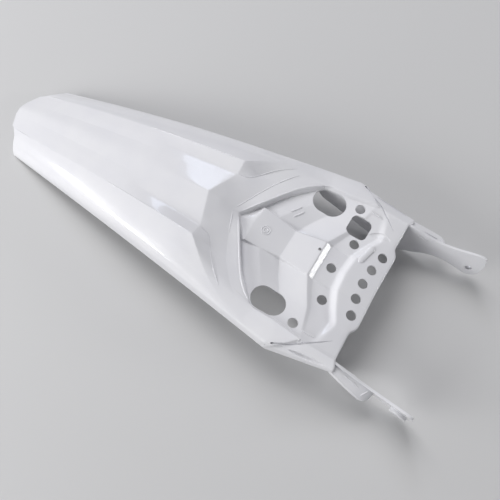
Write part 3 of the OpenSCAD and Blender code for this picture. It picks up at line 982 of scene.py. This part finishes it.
def lugMatrix(s):
    x = arm["tip"] - arm["lugR"]
    place = Matrix.Translation((x, s * (wallY(x, arm["lugZ"]) + arm["thick"] / 2), arm["lugZ"]))
    return (place @ Matrix.Rotation(math.radians(-s * (90 + arm["lean"])), 4, "X")
            @ Matrix.Rotation(math.radians(-arm["open"]), 4, "Y"))


def bevelled(piece, width, segments=3, angle=35):
    change = piece.modifiers.new("edges", "BEVEL")
    change.width = width
    change.segments = segments
    change.limit_method = "ANGLE"
    change.angle_limit = math.radians(angle)
    change.harden_normals = False
    return applied(piece)


arms = []
for s in (1, -1):
    wallPiece = bevelled(sideWall(s), arm["wallBevel"])
    bossR, bossHeight = arm["lugR"] - 3, arm["lugBoss"] - arm["thick"] / 2
    boss = bevelled(cutterBar("boss", ring(0, 0, bossR, 64), 0, bossHeight), arm["bossBevel"])
    boss.data.transform(lugMatrix(s))
    for piece in (wallPiece, boss):
        drill = cutterBar("drill", ring(0, 0, arm["lugHole"] / 2, 48), -12, 20)
        drill.data.transform(lugMatrix(s))
        cut(piece, drill)
    fold = bevelled(flange(s), arm["flangeBevel"])
    foldTree = surfaceOf(fold)
    edge = arm["rootGap"] / 2
    channel, hook = (laid([(x, s * y) for x, y in path], foldTree) for path in (
        [(frontX + 12, edge + 7), (frontX + 34, edge + 9.5)],
        [(frontX + 38, edge + 15), (frontX + 43, edge + 6)]))
    inner = [(x, s * wallY(x, -7), -7) for x in np.linspace(238, 254, 9)]
    ribs = beads("armRibs", [channel, hook, inner], **trims["armRib"])
    arms.append(joined("arm", [wallPiece, boss, fold, ribs]))
print("arms shaped", sum(len(a.data.polygons) for a in arms))


smoothBelow = math.radians(38)


def finished(piece, name):
    piece.name = name
    piece.data.transform(toPart)
    if not piece.data.materials:
        piece.data.materials.append(whitePlastic)
    for polygon in piece.data.polygons:
        polygon.use_smooth = True
    piece.data.set_sharp_from_angle(angle=smoothBelow)
    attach(piece, "root")
    return piece


finished(shell, "fenderShell")
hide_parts("rear_fender")
finished(arms[0], "armLeft")
finished(arms[1], "armRight")
for piece in trimPieces:
    finished(piece, piece.name)
print("pieces finished", 3 + len(trimPieces))


# camera: the photograph's place and turn, given with the bolt panel level
view = {
    "place": (142.239, -226.235, 532.743),
    "ahead": (-0.108679, 0.333026, -0.936634),
    "up": (-0.521595, 0.782990, 0.338918),
    "lens": 36, "sensor": 36,
}


def photoCamera():
    data = bpy.data.cameras.new("camera")
    data.sensor_width = view["sensor"]
    data.lens = view["lens"]
    camera = bpy.data.objects.new("camera", data)
    bpy.context.scene.collection.objects.link(camera)
    turn = toPart.to_3x3().normalized()
    back = -(turn @ Vector(view["ahead"])).normalized()
    up = (turn @ Vector(view["up"])).normalized()
    right = up.cross(back).normalized()
    basis = Matrix((right, back.cross(right), back)).transposed()
    camera.matrix_world = Matrix.Translation(toPart @ Vector(view["place"])) @ basis.to_4x4()
    bpy.context.scene.camera = camera
    return camera


photoCamera()
print("camera placed")

# floor, lamps and world, in metres
studio = {
    "floorSize": 12, "floorColour": (0.62, 0.62, 0.62), "floorRoughness": 0.9,
    "airColour": (0.95, 0.96, 1.0), "airStrength": 0.22,
}


def floor():
    bpy.ops.mesh.primitive_plane_add(size=studio["floorSize"], location=(0, 0, 0))
    plane = bpy.context.object
    plane.name = "floor"
    material = bpy.data.materials.new("floorPaint")
    material.use_nodes = True
    shader = material.node_tree.nodes["Principled BSDF"]
    shader.inputs["Base Color"].default_value = (*studio["floorColour"], 1)
    shader.inputs["Roughness"].default_value = studio["floorRoughness"]
    plane.data.materials.append(material)


lamps = {
    # place, size, power, colour and whether the gloss shows the lamp
    "keyLight": ((-1.9, 1.5, 3.05), (2.4, 2.4), 90, (1.0, 0.99, 1.0), False),
    "sideLight": ((-1.15, -2.05, 0.83), (1.7, 1.1), 34, (1.0, 1.0, 1.0), False),
    "windowLight": ((-0.92, 1.30, 1.22), (0.30, 0.42), 2.0, (0.74, 0.82, 1.0), True),
    "streakLight": ((-1.1, -0.97, 0.49), (0.9, 0.16), 5.2, (1.0, 1.0, 1.0), True),
    "frontLight": ((1.4, 0.62, 0.45), (0.3, 0.25), 3.4, (1.0, 1.0, 1.0), True),
}


def lamp(name, place, size, power, colour, inGloss):
    data = bpy.data.lights.new(name, "AREA")
    data.shape = "RECTANGLE"
    data.size, data.size_y = size
    data.energy = power
    data.color = colour
    light = bpy.data.objects.new(name, data)
    light.location = place
    light.rotation_euler = (-Vector(place)).to_track_quat("-Z", "Y").to_euler()
    light.visible_glossy = inGloss
    bpy.context.scene.collection.objects.link(light)
    return light


floor()
for name, settings in lamps.items():
    lamp(name, *settings)

world = bpy.data.worlds.new("studio")
bpy.context.scene.world = world
world.use_nodes = True
air = world.node_tree.nodes["Background"]
air.inputs["Color"].default_value = (*studio["airColour"], 1)
air.inputs["Strength"].default_value = studio["airStrength"]
print("studio lit", len(lamps))

bpy.context.scene.view_settings.view_transform = "Standard"
